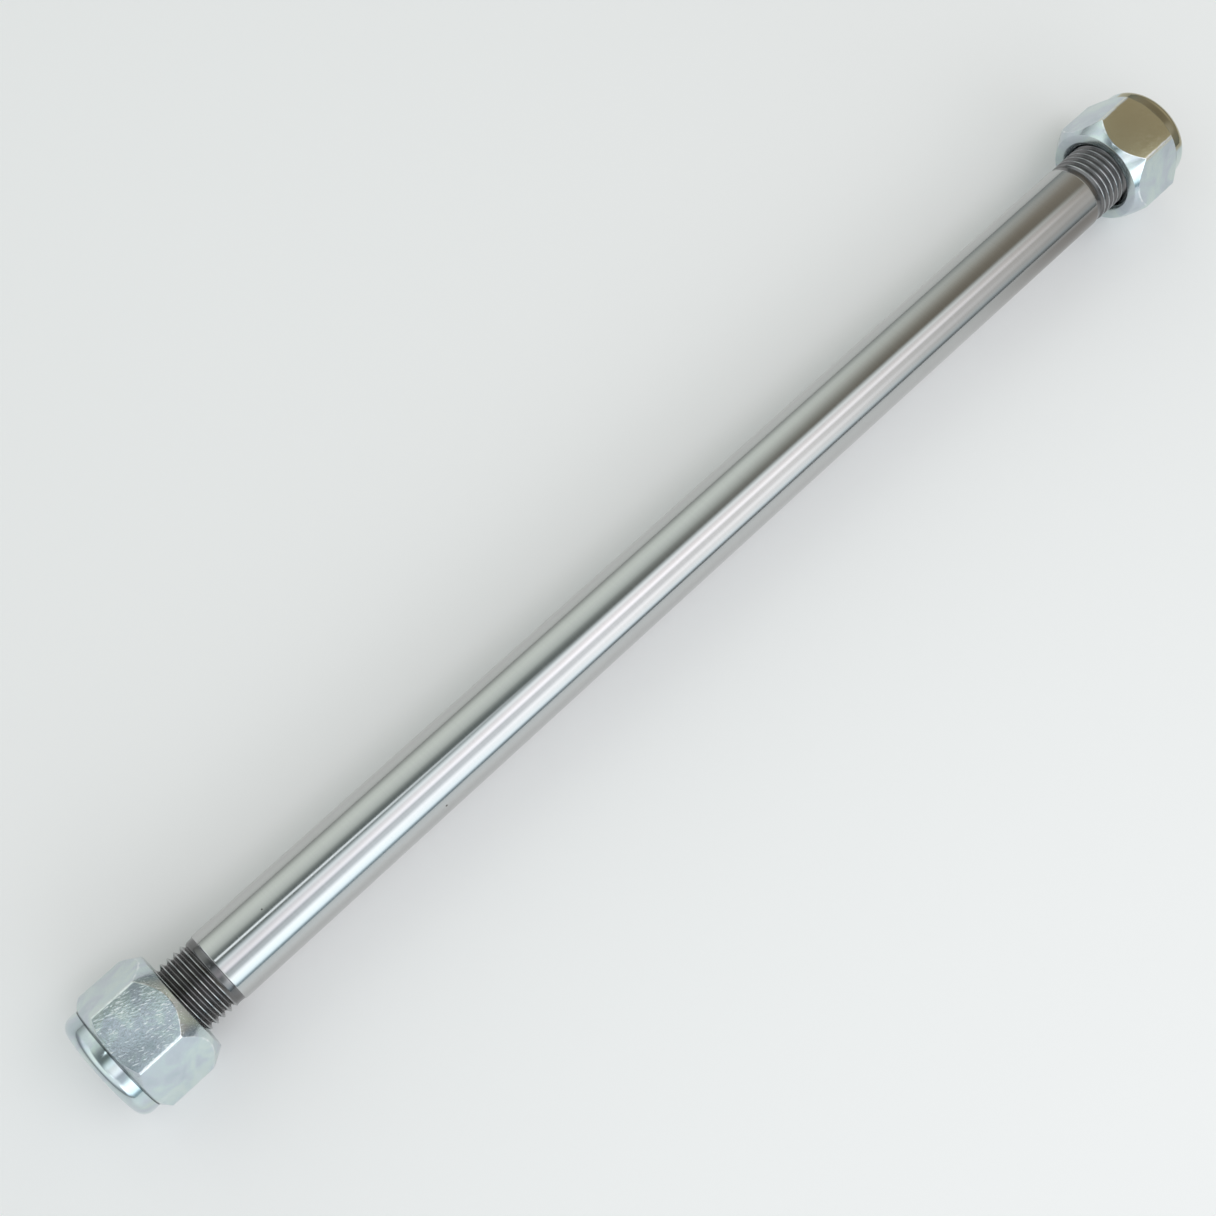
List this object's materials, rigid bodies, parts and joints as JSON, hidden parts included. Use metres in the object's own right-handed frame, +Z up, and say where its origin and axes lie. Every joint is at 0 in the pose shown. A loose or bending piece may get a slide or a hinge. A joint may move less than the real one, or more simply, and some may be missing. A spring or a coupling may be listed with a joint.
{
  "type": "engine mounting stud with lock nuts",
  "caption": "Double-ended steel stud with a plain ground shank, fine threads at both ends and a nylon-insert hexagon lock nut screwed on each thread.",
  "frame": {"origin": "middle of the stud, on its axis", "axes": "+X along the stud, +Z up from a flat of both nuts, corners of the nuts along +Y and -Y"},
  "size_m": [0.2496, 0.0218, 0.019],
  "materials": {
    "ground_steel": "ground and polished steel shank with dark oiled threads",
    "zinc_plate": "bright zinc plate with a clear blue tint",
    "nylon": "natural nylon"
  },
  "bodies": {
    "stud": {"stud": "ground_steel"},
    "left_nylon": {"left_nylon_insert": "nylon"},
    "left_nut": {"left_nut": "zinc_plate"},
    "right_nylon": {"right_nylon_insert": "nylon"},
    "right_nut": {"right_nut": "zinc_plate"}
  },
  "joints": [
    {"name": "left_nut_travel", "type": "slide", "parent": "stud", "child": "left_nylon", "axis": [-1, 0, 0], "range_m": [-0.00509, 0.01208]},
    {"name": "left_nut_turn", "type": "hinge", "parent": "left_nylon", "child": "left_nut", "pos_m": [-0.1097, 0, 0], "axis": [-1, 0, 0], "range_deg": [-1440, 3420]},
    {"name": "right_nut_travel", "type": "slide", "parent": "stud", "child": "right_nylon", "axis": [1, 0, 0], "range_m": [-0.00509, 0.01208]},
    {"name": "right_nut_turn", "type": "hinge", "parent": "right_nylon", "child": "right_nut", "pos_m": [0.1097, 0, 0], "axis": [1, 0, 0], "range_deg": [-1440, 3420]}
  ],
  "couplings": [
    {"joint": "left_nut_travel", "follows": "left_nut_turn", "m_per_rad": 0.00020213},
    {"joint": "right_nut_travel", "follows": "right_nut_turn", "m_per_rad": 0.00020213}
  ]
}
